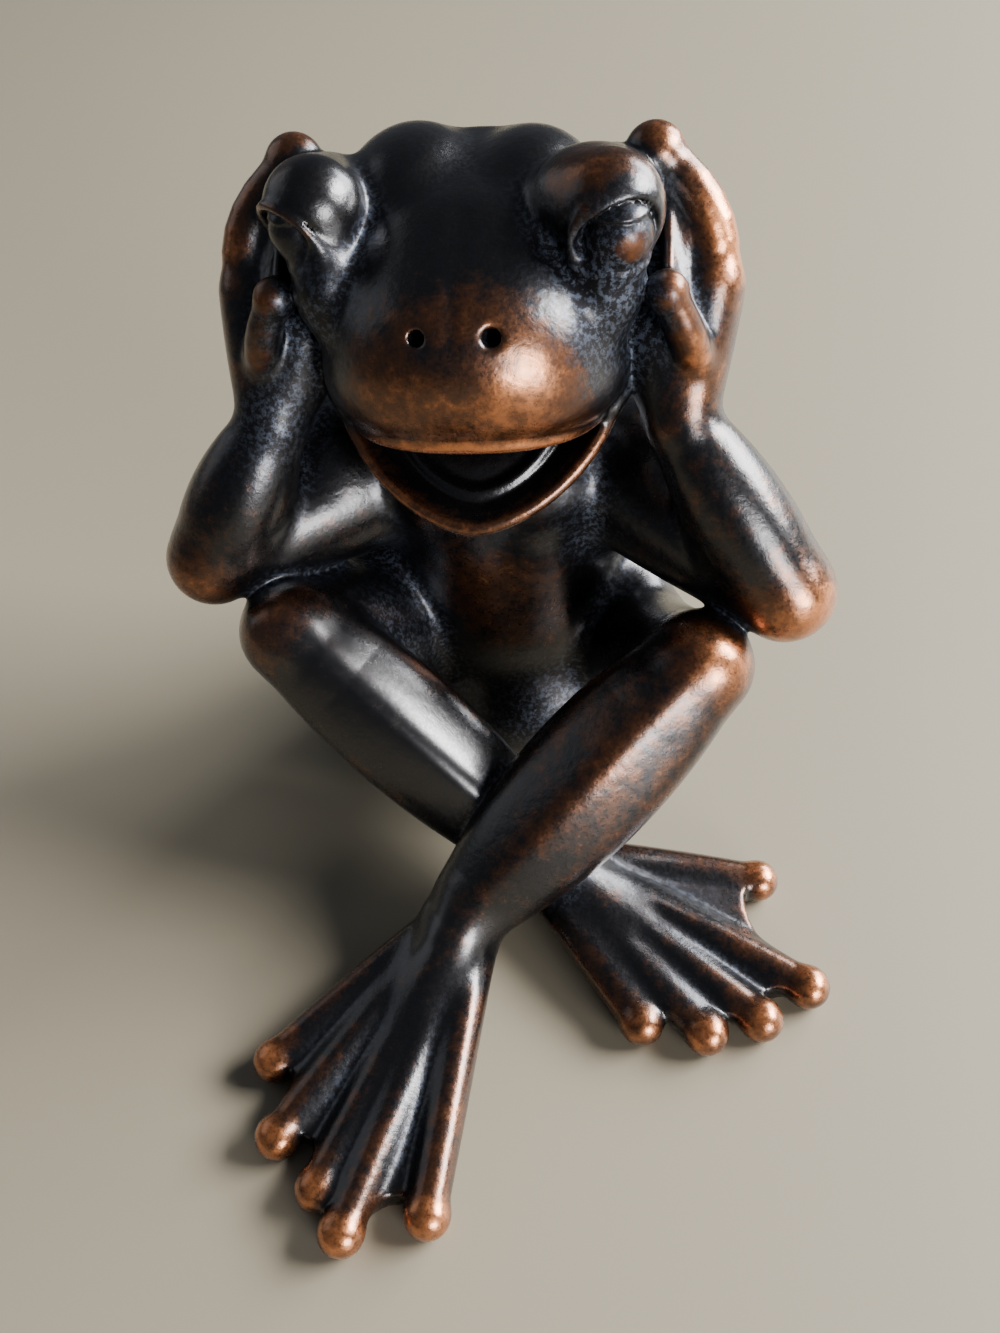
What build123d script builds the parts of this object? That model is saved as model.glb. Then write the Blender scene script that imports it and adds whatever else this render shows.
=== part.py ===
"""Seated frog figurine with its hands over its ears, cast in pieces and joined by steel dowels.

The frog sits on a flat seat, knees up and ankles crossed, elbows on its knees.
Frame: origin in the middle of the seat face, +Z up, the frog looks along -Y and its left side is +X.
Units are millimetres.
"""

import os
from math import cos, radians, sin

from build123d import *

# Torso
TORSO_HEIGHT = 62.0
TORSO_HALF_WIDTH = 20.0
TORSO_HALF_DEPTH = 18.5
TORSO_LEAN = 10.0
# Rows from seat to neck: height, half width, half depth and lean, as shares of the sizes above.
TORSO_SHARES = (
    (0.00, 0.75, 0.76, 0.00),
    (0.09, 0.95, 0.97, 0.00),
    (0.26, 1.00, 1.00, 0.10),
    (0.48, 0.92, 0.88, 0.40),
    (0.71, 0.86, 0.76, 0.70),
    (0.89, 0.73, 0.65, 0.90),
    (1.00, 0.53, 0.54, 1.00),
)

# Head, measured from the mouth plane, which is the flat underside of the upper jaw
THROAT_HEIGHT = 7.0
HEAD_HEIGHT = 23.3
HEAD_HALF_WIDTH = 19.0
HEAD_HALF_DEPTH = 20.0
HEAD_FORWARD = 15.3
HEAD_SET_BACK = 8.3
# Rows from mouth to crown: height, half width, half depth and set-back, as shares of the sizes above.
HEAD_SHARES = (
    (0.000, 0.97, 0.950, 0.00),
    (0.215, 1.00, 1.000, 0.00),
    (0.470, 0.96, 0.975, 0.04),
    (0.730, 0.87, 0.870, 0.34),
    (0.900, 0.71, 0.625, 0.70),
    (1.000, 0.47, 0.350, 1.00),
)
CROWN_LOBE_RADIUS = 8.5
CROWN_LOBE_SPREAD = 5.5
CROWN_LOBE_RISE = 1.5

# Eyes
EYE_SPREAD = 16.0
EYE_FORWARD = 3.7
EYE_RISE = 21.5
BROW_RADIUS = 6.3
EYE_RIDGE_LENGTH = 9.0
EYE_RIDGE_DROP = 2.5
EYE_RIDGE_RADIUS = 5.6
EYEBALL_RADIUS = 3.9
EYEBALL_PUSH = 3.2
EYEBALL_DROP = 1.5
LID_GAP = 0.5
LID_THICKNESS = 0.6
UPPER_LID_LIFT = 2.2
LOWER_LID_DROP = 2.4
EYE_AIM_SHARES = (0.38, -0.92, -0.10)

# Nostrils
NOSTRIL_SPREAD = 4.0
NOSTRIL_RISE = 14.0
NOSTRIL_RADIUS = 0.9
NOSTRIL_DEPTH = 1.6

# Mouth: the pocket in the upper jaw, then the round lower jaw, hung from a hinge line at the corners
LIP_FLARE = 0.6
LIP_RISE = 0.3
LIP_HEIGHT = 1.8
LIP_ROUND = 0.7
PALATE_DEPTH = 4.0
PALATE_LIP = 2.4
HINGE_FORWARD = 20.0
JAW_OPEN_ANGLE = 40.0
JAW_RADIUS = 18.4
JAW_DEPTH = 7.0
JAW_LIP = 2.0
JAW_GROOVE_DEPTH = 3.6
TONGUE_RADIUS = 12.0
TONGUE_EDGE_DROP = 1.2
TONGUE_MIDDLE_DROP = 2.8
THROAT_TOP_HALF_WIDTH = 17.0
THROAT_TOP_HALF_DEPTH = 12.0
THROAT_TOP_FORWARD = 8.5

# Legs
HIP_SPREAD = 17.0
HIP_FORWARD = 8.0
HIP_HEIGHT = 16.5
HIP_RADIUS = 10.5
LEFT_THIGH_RADIUS = 7.8
RIGHT_THIGH_RADIUS = 11.2
KNEE_RADIUS = 7.2
CALF_RADIUS = 8.4
ANKLE_RADIUS = 4.8
THIGH_SHARE = 0.45
CALF_SHARE = 0.32
LEFT_KNEE_SPREAD = 28.5
LEFT_KNEE_FORWARD = 33.5
LEFT_KNEE_HEIGHT = 35.5
RIGHT_KNEE_SPREAD = 27.0
RIGHT_KNEE_FORWARD = 30.5
RIGHT_KNEE_HEIGHT = 37.5
LEFT_ANKLE_CROSS = 4.0
LEFT_ANKLE_FORWARD = 56.5
LEFT_ANKLE_HEIGHT = 9.0
RIGHT_ANKLE_CROSS = 8.5
RIGHT_ANKLE_FORWARD = 45.5
RIGHT_ANKLE_HEIGHT = 8.0

# Feet: toes fan out from the ankle, with a web between them and a ball on each tip
TOE_LENGTH = 40.0
TOE_ROOT_RADIUS = 2.8
TOE_TIP_RADIUS = 2.0
TOE_BALL_RADIUS = 2.9
TOE_ROOT_HEIGHT = 6.0
TOE_ROOT_STEP = 1.5
SOLE_FLAT = 0.3
INSTEP_LENGTH = 7.0
INSTEP_RADIUS = 3.4
WEB_ROOT_HEIGHT = 7.6
WEB_EDGE_HEIGHT = 2.6
WEB_REACH_SHARE = 0.93
WEB_SCALLOP_SHARE = 0.18
HEEL_LENGTH = 3.5
# Toes from the inner one outwards: length as a share of TOE_LENGTH, and degrees from straight ahead.
LEFT_TOE_SHARES = ((0.72, 50.2), (0.86, 34.5), (0.92, 20.8), (1.01, 13.3), (0.915, -0.9))
RIGHT_TOE_SHARES = ((0.71, 94.0), (0.93, 66.9), (0.855, 54.8), (0.76, 43.6), (0.615, 30.8))

# Arms: each elbow rests on the knee below it
SHOULDER_SPREAD = 15.0
SHOULDER_FORWARD = 6.0
SHOULDER_DROP = 14.0
SHOULDER_RADIUS = 10.2
UPPER_ARM_RADIUS = 8.4
ELBOW_RADIUS = 6.0
FOREARM_RADIUS = 6.5
WRIST_RADIUS = 4.0
UPPER_ARM_SHARE = 0.55
FOREARM_SHARE = 0.3
ELBOW_OUT = 9.8
ELBOW_BACK = 5.0
ELBOW_ABOVE = 8.6
WRIST_SPREAD = 26.5
WRIST_FORWARD = 21.0
WRIST_DROP = 4.5

# Hands: a palm beside the cheek, and webbed fingers with ball tips that reach the head
KNUCKLE_SPREAD = 27.4
KNUCKLE_FORWARD = 14.0
KNUCKLE_RISE = 9.5
KNUCKLE_RADIUS = 4.4
PALM_SPREAD = 22.2
PALM_FORWARD = 15.0
PALM_RISE = 4.3
PALM_RADIUS = 6.4
FINGER_ROOT_RADIUS = 2.3
FINGER_TIP_RADIUS = 1.6
FINGER_BALL_RADIUS = 3.1
THUMB_BALL_RADIUS = 2.5
FINGER_WEB_THICKNESS = 1.4
THUMB_WEB_REACH_SHARE = 0.88
FINGER_WEB_REACH_SHARE = 0.60
FINGER_WEB_SCALLOP_SHARE = 0.15
# Fingertips from the thumb backwards: places about the head's middle, out to the side, forward and up,
# as shares of the head's half width, half depth and height.
FINGERTIP_SHARES = (
    (1.18, 0.285, 0.545),
    (1.08, -0.340, 0.985),
    (0.77, -0.775, 0.770),
    (0.71, -0.855, 0.410),
)
# Where the fingers behind the thumb bend, in the same shares
FINGER_BEND_SHARES = (
    (1.41, -0.215, 0.750),
    (1.29, -0.515, 0.690),
    (1.24, -0.540, 0.410),
)

# Steel dowels that locate the castings
DOWEL_RADIUS = 1.5
DOWEL_LENGTH = 12.0
NECK_DOWEL_RADIUS = 2.0
NECK_DOWEL_GRIP = 8.0
NECK_DOWEL_FORWARD = 9.0
ANKLE_DOWEL_RADIUS = 1.1
ANKLE_DOWEL_LENGTH = 8.0
DOWEL_CLEARANCE = 0.1
OVERRUN = 5.0

# Places worked out from the sizes
MOUTH_HEIGHT = TORSO_HEIGHT + THROAT_HEIGHT
UP = Vector(0, 0, 1)
SIDES = {"left": 1, "right": -1}

HIP = {side: Vector(s * HIP_SPREAD, -HIP_FORWARD, HIP_HEIGHT) for side, s in SIDES.items()}
KNEE = {
    "left": Vector(LEFT_KNEE_SPREAD, -LEFT_KNEE_FORWARD, LEFT_KNEE_HEIGHT),
    "right": Vector(-RIGHT_KNEE_SPREAD, -RIGHT_KNEE_FORWARD, RIGHT_KNEE_HEIGHT),
}
ANKLE = {
    "left": Vector(-LEFT_ANKLE_CROSS, -LEFT_ANKLE_FORWARD, LEFT_ANKLE_HEIGHT),
    "right": Vector(RIGHT_ANKLE_CROSS, -RIGHT_ANKLE_FORWARD, RIGHT_ANKLE_HEIGHT),
}
THIGH_RADIUS = {"left": LEFT_THIGH_RADIUS, "right": RIGHT_THIGH_RADIUS}
SHIN = {side: (ANKLE[side] - KNEE[side]).normalized() for side in SIDES}
TOE_SHARES = {"left": LEFT_TOE_SHARES, "right": RIGHT_TOE_SHARES}
SHOULDER = {
    side: Vector(s * SHOULDER_SPREAD, -SHOULDER_FORWARD, TORSO_HEIGHT - SHOULDER_DROP)
    for side, s in SIDES.items()
}
ELBOW = {side: KNEE[side] + Vector(s * ELBOW_OUT, ELBOW_BACK, ELBOW_ABOVE) for side, s in SIDES.items()}
WRIST = {
    side: Vector(s * WRIST_SPREAD, -WRIST_FORWARD, MOUTH_HEIGHT - WRIST_DROP)
    for side, s in SIDES.items()
}
KNUCKLE = {
    side: Vector(s * KNUCKLE_SPREAD, -KNUCKLE_FORWARD, MOUTH_HEIGHT + KNUCKLE_RISE)
    for side, s in SIDES.items()
}
PALM = {
    side: Vector(s * PALM_SPREAD, -PALM_FORWARD, MOUTH_HEIGHT + PALM_RISE)
    for side, s in SIDES.items()
}
EYE = {
    side: Vector(s * EYE_SPREAD, -HEAD_FORWARD - EYE_FORWARD, MOUTH_HEIGHT + EYE_RISE)
    for side, s in SIDES.items()
}
HINGE = Vector(0, -HINGE_FORWARD, MOUTH_HEIGHT)
JAW_TILT = radians(JAW_OPEN_ANGLE)
JAW_PLANE = Plane(origin=HINGE, x_dir=(1, 0, 0), z_dir=(0, -sin(JAW_TILT), cos(JAW_TILT)))


def limb(start, end, start_radius, belly_radius, end_radius, belly_share, mode=Mode.ADD):
    """A tapered limb with round ends, swelling at belly_share of its length, turned about its own axis."""
    along = end - start
    plane = Plane(origin=start, x_dir=along, z_dir=along.cross(UP))
    with BuildSketch(plane) as profile:
        with BuildLine():
            CenterArc((0, 0), start_radius, 180, -90)
            Spline(
                (0, start_radius),
                (along.length * belly_share, belly_radius),
                (along.length, end_radius),
                tangents=((1, 0), (1, 0)),
            )
            CenterArc((along.length, 0), end_radius, 90, -90)
            Line((along.length + end_radius, 0), (-start_radius, 0))
        make_face()
    revolve(profile.sketch, axis=Axis(start, along), mode=mode)


def digit(root, tip, root_radius, tip_radius, ball_radius):
    """A finger or toe: a slim tapered limb with a ball on its tip."""
    limb(root, tip, root_radius, (root_radius + tip_radius) / 2, tip_radius, 0.5)
    with Locations(tip):
        Sphere(ball_radius)


def bent_digit(root, bend, tip, root_radius, tip_radius, ball_radius):
    """A finger with one knuckle between root and tip."""
    bend_radius = (root_radius + tip_radius) / 2
    limb(root, bend, root_radius, (root_radius + bend_radius) / 2, bend_radius, 0.5)
    digit(bend, tip, bend_radius, tip_radius, ball_radius)


def skin(root, one, two, hollow_share=0):
    """A thin skin with corners root, one and two, hollowed between the last two towards the root."""
    plane = Plane(origin=root, x_dir=one - root, z_dir=(one - root).cross(two - root))
    edge = (one + two) / 2
    dip = edge + (root - edge) * hollow_share
    near, low, far = [plane.to_local_coords(point) for point in (one, dip, two)]
    with BuildSketch(plane) as outline:
        with BuildLine():
            Line((0, 0), (near.X, near.Y))
            if hollow_share:
                ThreePointArc((near.X, near.Y), (low.X, low.Y), (far.X, far.Y))
            else:
                Line((near.X, near.Y), (far.X, far.Y))
            Line((far.X, far.Y), (0, 0))
        make_face()
    extrude(outline.sketch, amount=FINGER_WEB_THICKNESS / 2, both=True)


def finger_web(root, bend, edge, next_bend, next_edge):
    """The web between two fingers, folded where they bend and hollowed along its free edge."""
    if bend != root:
        skin(root, bend, next_bend)
        skin(bend, edge, next_bend)
    else:
        skin(root, edge, next_bend)
    skin(next_bend, edge, next_edge, FINGER_WEB_SCALLOP_SHARE)


def stack_of_ellipses(rows):
    """A smooth body through level ellipses, each given as height, middle in Y, half width and half depth."""
    sections = []
    for height, middle, half_width, half_depth in rows:
        with BuildSketch(Plane((0, middle, height))) as section:
            Ellipse(half_width, half_depth)
        sections.append(section.sketch)
    loft(sections)


def dowel_hole(middle, direction, radius, length):
    """A round hole for a dowel of that radius and length, with room for glue all round."""
    with Locations(Plane(origin=middle, z_dir=direction)):
        Cylinder(radius + DOWEL_CLEARANCE, length + 2 * DOWEL_CLEARANCE, mode=Mode.SUBTRACT)


def torso_row(share):
    height, width, depth, lean = share
    return (height * TORSO_HEIGHT, -lean * TORSO_LEAN, width * TORSO_HALF_WIDTH, depth * TORSO_HALF_DEPTH)


def head_row(share):
    height, width, depth, back = share
    return (
        MOUTH_HEIGHT + height * HEAD_HEIGHT,
        back * HEAD_SET_BACK - HEAD_FORWARD,
        width * HEAD_HALF_WIDTH,
        depth * HEAD_HALF_DEPTH,
    )


def joint_places():
    """Every dowel's middle, direction, radius and length, by node name."""
    neck = Vector(0, -NECK_DOWEL_FORWARD, TORSO_HEIGHT + THROAT_HEIGHT / 2)
    places = {"neck_dowel": [(neck, UP, NECK_DOWEL_RADIUS, THROAT_HEIGHT + 2 * NECK_DOWEL_GRIP)]}
    for node, joints, ends in (("shoulder_dowels", SHOULDER, ELBOW), ("hip_dowels", HIP, KNEE)):
        places[node] = [(joints[s], ends[s] - joints[s], DOWEL_RADIUS, DOWEL_LENGTH) for s in SIDES]
    places["ankle_dowels"] = [(ANKLE[s], SHIN[s], ANKLE_DOWEL_RADIUS, ANKLE_DOWEL_LENGTH) for s in SIDES]
    return places


DOWELS = joint_places()
NECK_HOLE = DOWELS["neck_dowel"][0]
SHOULDER_HOLE = dict(zip(SIDES, DOWELS["shoulder_dowels"]))
HIP_HOLE = dict(zip(SIDES, DOWELS["hip_dowels"]))
ANKLE_HOLE = dict(zip(SIDES, DOWELS["ankle_dowels"]))

# Torso: the main casting, flat where it sits
with BuildPart() as torso:
    stack_of_ellipses([torso_row(share) for share in TORSO_SHARES])
    dowel_hole(*NECK_HOLE)
    for side in SIDES:
        dowel_hole(*SHOULDER_HOLE[side])
        dowel_hole(*HIP_HOLE[side])


def eye_aim(side):
    """The way the eye looks."""
    return Vector(SIDES[side] * EYE_AIM_SHARES[0], EYE_AIM_SHARES[1], EYE_AIM_SHARES[2]).normalized()


def eyeball_middle(side):
    """The middle of the eyeball, low in the brow mound."""
    return EYE[side] + eye_aim(side) * EYEBALL_PUSH - UP * EYEBALL_DROP


def eyelid(side, shift, keep):
    """A cap over the eyeball, kept above or below a level cut that is shifted from the eyeball's middle."""
    aim = eye_aim(side)
    lift = (UP - aim * UP.dot(aim)).normalized()
    middle = eyeball_middle(side)
    with BuildPart() as lid:
        with Locations(middle):
            Sphere(EYEBALL_RADIUS + LID_THICKNESS)
        split(bisect_by=Plane(origin=middle + lift * shift, z_dir=lift), keep=keep)
    return lid.part


LIDS = [eyelid(side, UPPER_LID_LIFT, Keep.TOP) for side in SIDES]
LIDS += [eyelid(side, -LOWER_LID_DROP, Keep.BOTTOM) for side in SIDES]

# Head: skull and upper jaw, with two crown lobes, lidded eyes, nostrils and a hollow palate
PALATE_ROW = head_row(HEAD_SHARES[0])
with BuildPart() as upper_lip:
    with BuildSketch(Plane((0, PALATE_ROW[1], MOUTH_HEIGHT + LIP_RISE))):
        Ellipse(PALATE_ROW[2] + LIP_FLARE, PALATE_ROW[3] + LIP_FLARE)
    extrude(amount=LIP_HEIGHT)
    fillet(upper_lip.edges().filter_by(GeomType.ELLIPSE), radius=LIP_ROUND)
    split(bisect_by=Plane(origin=HINGE, z_dir=(0, 1, 0)), keep=Keep.BOTTOM)

with BuildPart() as head:
    stack_of_ellipses([head_row(share) for share in HEAD_SHARES])
    add(upper_lip.part)
    crown = head_row(HEAD_SHARES[-1])
    for s in SIDES.values():
        with Locations((s * CROWN_LOBE_SPREAD, crown[1], crown[0] + CROWN_LOBE_RISE - CROWN_LOBE_RADIUS)):
            Sphere(CROWN_LOBE_RADIUS)
    for side, s in SIDES.items():
        ridge_end = EYE[side] + Vector(0, EYE_RIDGE_LENGTH, -EYE_RIDGE_DROP)
        limb(EYE[side], ridge_end, BROW_RADIUS, BROW_RADIUS, EYE_RIDGE_RADIUS, 0.5)
    for side in SIDES:
        middle = eyeball_middle(side)
        with Locations(middle + eye_aim(side) * 2 * LID_GAP):
            Sphere(EYEBALL_RADIUS + LID_GAP, mode=Mode.SUBTRACT)
        with Locations(middle):
            Sphere(EYEBALL_RADIUS)
    for lid in LIDS:
        add(lid)
    snout = -HEAD_FORWARD - HEAD_HALF_DEPTH
    for s in SIDES.values():
        outside = Vector(s * NOSTRIL_SPREAD, snout - OVERRUN, MOUTH_HEIGHT + NOSTRIL_RISE)
        inside = Vector(s * NOSTRIL_SPREAD, snout + NOSTRIL_DEPTH, MOUTH_HEIGHT + NOSTRIL_RISE)
        limb(outside, inside, NOSTRIL_RADIUS, NOSTRIL_RADIUS, NOSTRIL_RADIUS, 0.5, Mode.SUBTRACT)
    with BuildSketch(Plane((0, PALATE_ROW[1], MOUTH_HEIGHT))) as palate:
        Ellipse(PALATE_ROW[2] - PALATE_LIP, PALATE_ROW[3] - PALATE_LIP)
        with Locations((0, -PALATE_ROW[1] - HINGE_FORWARD)):
            Rectangle(
                2 * HEAD_HALF_WIDTH, 2 * HEAD_HALF_DEPTH, align=(Align.CENTER, Align.MIN), mode=Mode.SUBTRACT
            )
    extrude(palate.sketch, amount=PALATE_DEPTH, mode=Mode.SUBTRACT)
    dowel_hole(*NECK_HOLE)

# Lower jaw: a round dish with lip, groove and tongue, on the throat that carries the head
with BuildPart() as lower_jaw:
    neck_row = torso_row(TORSO_SHARES[-1])
    stack_of_ellipses(
        [neck_row, (MOUTH_HEIGHT, -THROAT_TOP_FORWARD, THROAT_TOP_HALF_WIDTH, THROAT_TOP_HALF_DEPTH)]
    )
    groove_radius = (JAW_RADIUS - JAW_LIP + TONGUE_RADIUS) / 2
    with BuildSketch(Plane(origin=HINGE, x_dir=(1, 0, 0), z_dir=-JAW_PLANE.y_dir)) as dish:
        with BuildLine():
            Line((0, -TONGUE_MIDDLE_DROP), (0, -JAW_DEPTH))
            Spline(
                (0, -JAW_DEPTH),
                (JAW_RADIUS * 0.7, -JAW_DEPTH * 0.7),
                (JAW_RADIUS, -JAW_LIP / 2),
                tangents=((1, 0), (0, 1)),
            )
            ThreePointArc(
                (JAW_RADIUS, -JAW_LIP / 2),
                (JAW_RADIUS - JAW_LIP / 2, 0),
                (JAW_RADIUS - JAW_LIP, -JAW_LIP / 2),
            )
            Spline(
                (JAW_RADIUS - JAW_LIP, -JAW_LIP / 2),
                (groove_radius, -JAW_GROOVE_DEPTH),
                tangents=((0, -1), (-1, 0)),
            )
            Spline(
                (groove_radius, -JAW_GROOVE_DEPTH),
                (TONGUE_RADIUS - JAW_LIP / 2, -TONGUE_EDGE_DROP),
                (0, -TONGUE_MIDDLE_DROP),
                tangents=((-1, 0), (-1, 0)),
            )
        make_face()
    revolve(dish.sketch, axis=Axis(HINGE, JAW_PLANE.z_dir), revolution_arc=-180)
    with Locations((0, 0, MOUTH_HEIGHT)):
        Box(
            4 * HEAD_HALF_WIDTH,
            4 * HEAD_HALF_DEPTH,
            HEAD_HEIGHT,
            align=(Align.CENTER, Align.CENTER, Align.MIN),
            mode=Mode.SUBTRACT,
        )
    add(torso.part, mode=Mode.SUBTRACT)
    dowel_hole(*NECK_HOLE)


def cast_leg(side, neighbours):
    """Thigh, knee and calf in one casting, cut square at the ankle and let in to its neighbours."""
    with BuildPart() as leg:
        limb(HIP[side], KNEE[side], HIP_RADIUS, THIGH_RADIUS[side], KNEE_RADIUS, THIGH_SHARE)
        limb(KNEE[side], ANKLE[side], KNEE_RADIUS, CALF_RADIUS, ANKLE_RADIUS, CALF_SHARE)
        split(bisect_by=Plane(origin=ANKLE[side], z_dir=SHIN[side]), keep=Keep.BOTTOM)
        for neighbour in neighbours:
            add(neighbour, mode=Mode.SUBTRACT)
        dowel_hole(*HIP_HOLE[side])
        dowel_hole(*ANKLE_HOLE[side])
    return leg


left_leg = cast_leg("left", [torso.part])
right_leg = cast_leg("right", [torso.part, left_leg.part])


def toe_tips(side):
    """The middle of each toe's ball."""
    outward = -SIDES[side]
    tips = []
    for length_share, degrees in TOE_SHARES[side]:
        reach = TOE_LENGTH * length_share
        angle = radians(degrees)
        tips.append(
            Vector(
                ANKLE[side].X + outward * reach * sin(angle),
                ANKLE[side].Y - reach * cos(angle),
                TOE_BALL_RADIUS - SOLE_FLAT,
            )
        )
    return tips


def cast_foot(side, neighbours):
    """Five ball-tipped toes on a flat-soled web that slopes down from the instep."""
    ankle = ANKLE[side]
    on_ground = Vector(ankle.X, ankle.Y, 0)
    tips = toe_tips(side)
    reach = [Vector(tip.X, tip.Y, 0) - on_ground for tip in tips]
    middle = reach[len(reach) // 2].normalized()
    across = UP.cross(middle) * SIDES[side] * TOE_ROOT_STEP
    roots = [across * (number - (len(tips) - 1) / 2) for number in range(len(tips))]
    with BuildPart() as foot:
        with BuildSketch(Plane(on_ground)) as web:
            with BuildLine():
                heels = [roots[0] - middle * HEEL_LENGTH, roots[-1] - middle * HEEL_LENGTH]
                edge = [vector * WEB_REACH_SHARE for vector in reach]
                Line((heels[0].X, heels[0].Y), (edge[0].X, edge[0].Y))
                for one, two in zip(edge, edge[1:]):
                    middle_edge = (one + two) / 2
                    dip = middle_edge - middle_edge.normalized() * (two - one).length * WEB_SCALLOP_SHARE
                    ThreePointArc((one.X, one.Y), (dip.X, dip.Y), (two.X, two.Y))
                Line((edge[-1].X, edge[-1].Y), (heels[1].X, heels[1].Y))
                Line((heels[1].X, heels[1].Y), (heels[0].X, heels[0].Y))
            make_face()
        extrude(web.sketch, amount=WEB_ROOT_HEIGHT)
        with Locations(on_ground):
            slope = (WEB_ROOT_HEIGHT - WEB_EDGE_HEIGHT) / TOE_LENGTH
            Cone(
                WEB_ROOT_HEIGHT / slope,
                0,
                WEB_ROOT_HEIGHT,
                align=(Align.CENTER, Align.CENTER, Align.MIN),
                mode=Mode.INTERSECT,
            )
        for root, tip in zip(roots, tips):
            start = on_ground + root + UP * TOE_ROOT_HEIGHT
            digit(start, tip, TOE_ROOT_RADIUS, TOE_TIP_RADIUS, TOE_BALL_RADIUS)
        limb(
            ankle - SHIN[side] * ANKLE_RADIUS,
            on_ground + middle * INSTEP_LENGTH + UP * INSTEP_RADIUS,
            ANKLE_RADIUS,
            ANKLE_RADIUS,
            INSTEP_RADIUS,
            0.5,
        )
        split(bisect_by=Plane.XY, keep=Keep.TOP)
        split(bisect_by=Plane(origin=ankle, z_dir=SHIN[side]), keep=Keep.TOP)
        for neighbour in neighbours:
            add(neighbour, mode=Mode.SUBTRACT)
        dowel_hole(*ANKLE_HOLE[side])
    return foot


left_foot = cast_foot("left", [right_leg.part])
right_foot = cast_foot("right", [left_leg.part])


def beside_head(side, shares):
    """Places about the head's middle, given as shares of its half width, half depth and height."""
    return [
        Vector(
            SIDES[side] * width * HEAD_HALF_WIDTH,
            -HEAD_FORWARD - forward * HEAD_HALF_DEPTH,
            MOUTH_HEIGHT + rise * HEAD_HEIGHT,
        )
        for width, forward, rise in shares
    ]


def cast_arm(side, neighbours):
    """Upper arm, forearm and webbed hand in one casting, let in to what it touches."""
    thumb_tip, *tips = beside_head(side, FINGERTIP_SHARES)
    bends = beside_head(side, FINGER_BEND_SHARES)
    thumb_root = (WRIST[side] + KNUCKLE[side]) / 2
    with BuildPart() as arm:
        limb(SHOULDER[side], ELBOW[side], SHOULDER_RADIUS, UPPER_ARM_RADIUS, ELBOW_RADIUS, UPPER_ARM_SHARE)
        limb(ELBOW[side], WRIST[side], ELBOW_RADIUS, FOREARM_RADIUS, WRIST_RADIUS, FOREARM_SHARE)
        limb(WRIST[side], KNUCKLE[side], WRIST_RADIUS, KNUCKLE_RADIUS, KNUCKLE_RADIUS, 0.6)
        limb(WRIST[side], PALM[side], WRIST_RADIUS, PALM_RADIUS, PALM_RADIUS, 0.6)
        digit(thumb_root, thumb_tip, FINGER_ROOT_RADIUS, FINGER_TIP_RADIUS, THUMB_BALL_RADIUS)
        for bend, tip in zip(bends, tips):
            bent_digit(
                KNUCKLE[side], bend, tip, FINGER_ROOT_RADIUS, FINGER_TIP_RADIUS, FINGER_BALL_RADIUS
            )
        web_ends = [bend + (tip - bend) * FINGER_WEB_REACH_SHARE for bend, tip in zip(bends, tips)]
        thumb_end = thumb_root + (thumb_tip - thumb_root) * THUMB_WEB_REACH_SHARE
        finger_web(thumb_root, thumb_root, thumb_end, bends[0], web_ends[0])
        for number in range(len(bends) - 1):
            finger_web(
                KNUCKLE[side], bends[number], web_ends[number], bends[number + 1], web_ends[number + 1]
            )
        for neighbour in neighbours:
            add(neighbour, mode=Mode.SUBTRACT)
        dowel_hole(*SHOULDER_HOLE[side])
    return arm


left_arm = cast_arm("left", [torso.part, lower_jaw.part, head.part, left_leg.part])
right_arm = cast_arm("right", [torso.part, lower_jaw.part, head.part, right_leg.part])


def cut_dowels(places):
    """Plain steel pins, one at each place."""
    with BuildPart() as pins:
        for middle, direction, radius, length in places:
            with Locations(Plane(origin=middle, z_dir=direction)):
                Cylinder(radius, length)
    return pins


castings = {
    "torso": torso,
    "head": head,
    "lower_jaw": lower_jaw,
    "left_leg": left_leg,
    "right_leg": right_leg,
    "left_foot": left_foot,
    "right_foot": right_foot,
    "left_arm": left_arm,
    "right_arm": right_arm,
}
pieces = castings | {node: cut_dowels(places) for node, places in DOWELS.items()}

os.makedirs("parts", exist_ok=True)
for name, piece in pieces.items():
    piece.part.label = name
    export_step(piece.part, f"parts/{name}.step")
    print(name, "solids", len(piece.part.solids()), "volume", round(piece.part.volume, 1))
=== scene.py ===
import math

import bpy
import numpy as np
from mathutils import Matrix, Vector


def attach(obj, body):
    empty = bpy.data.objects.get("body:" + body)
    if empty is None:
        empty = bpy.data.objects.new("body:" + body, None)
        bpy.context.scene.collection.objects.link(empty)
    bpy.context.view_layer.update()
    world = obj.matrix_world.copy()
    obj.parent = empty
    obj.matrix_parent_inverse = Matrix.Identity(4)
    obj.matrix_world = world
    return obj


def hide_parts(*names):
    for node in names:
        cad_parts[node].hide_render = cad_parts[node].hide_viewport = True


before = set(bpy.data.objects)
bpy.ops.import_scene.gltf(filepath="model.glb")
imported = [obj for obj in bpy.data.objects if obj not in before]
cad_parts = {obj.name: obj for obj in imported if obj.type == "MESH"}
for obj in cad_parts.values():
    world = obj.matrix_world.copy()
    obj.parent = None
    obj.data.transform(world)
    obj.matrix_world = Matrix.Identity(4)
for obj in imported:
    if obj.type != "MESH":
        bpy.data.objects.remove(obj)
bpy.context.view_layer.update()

# Camera at the photograph's angle. Places are in millimetres until they go into Blender.
MM = 0.001
AZIMUTH = math.radians(10.12)
ELEVATION = math.radians(44.95)
ROLL = math.radians(-6.03)
AIM = Vector((-0.96, -19.58, 20.44))
CAMERA_DISTANCE = 185.68
# The focal length is in pixels of the frame's longer side
FOCAL_PIXELS = 1250.0
FRAME_PIXELS = 1333.0
SENSOR = 36.0

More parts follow.
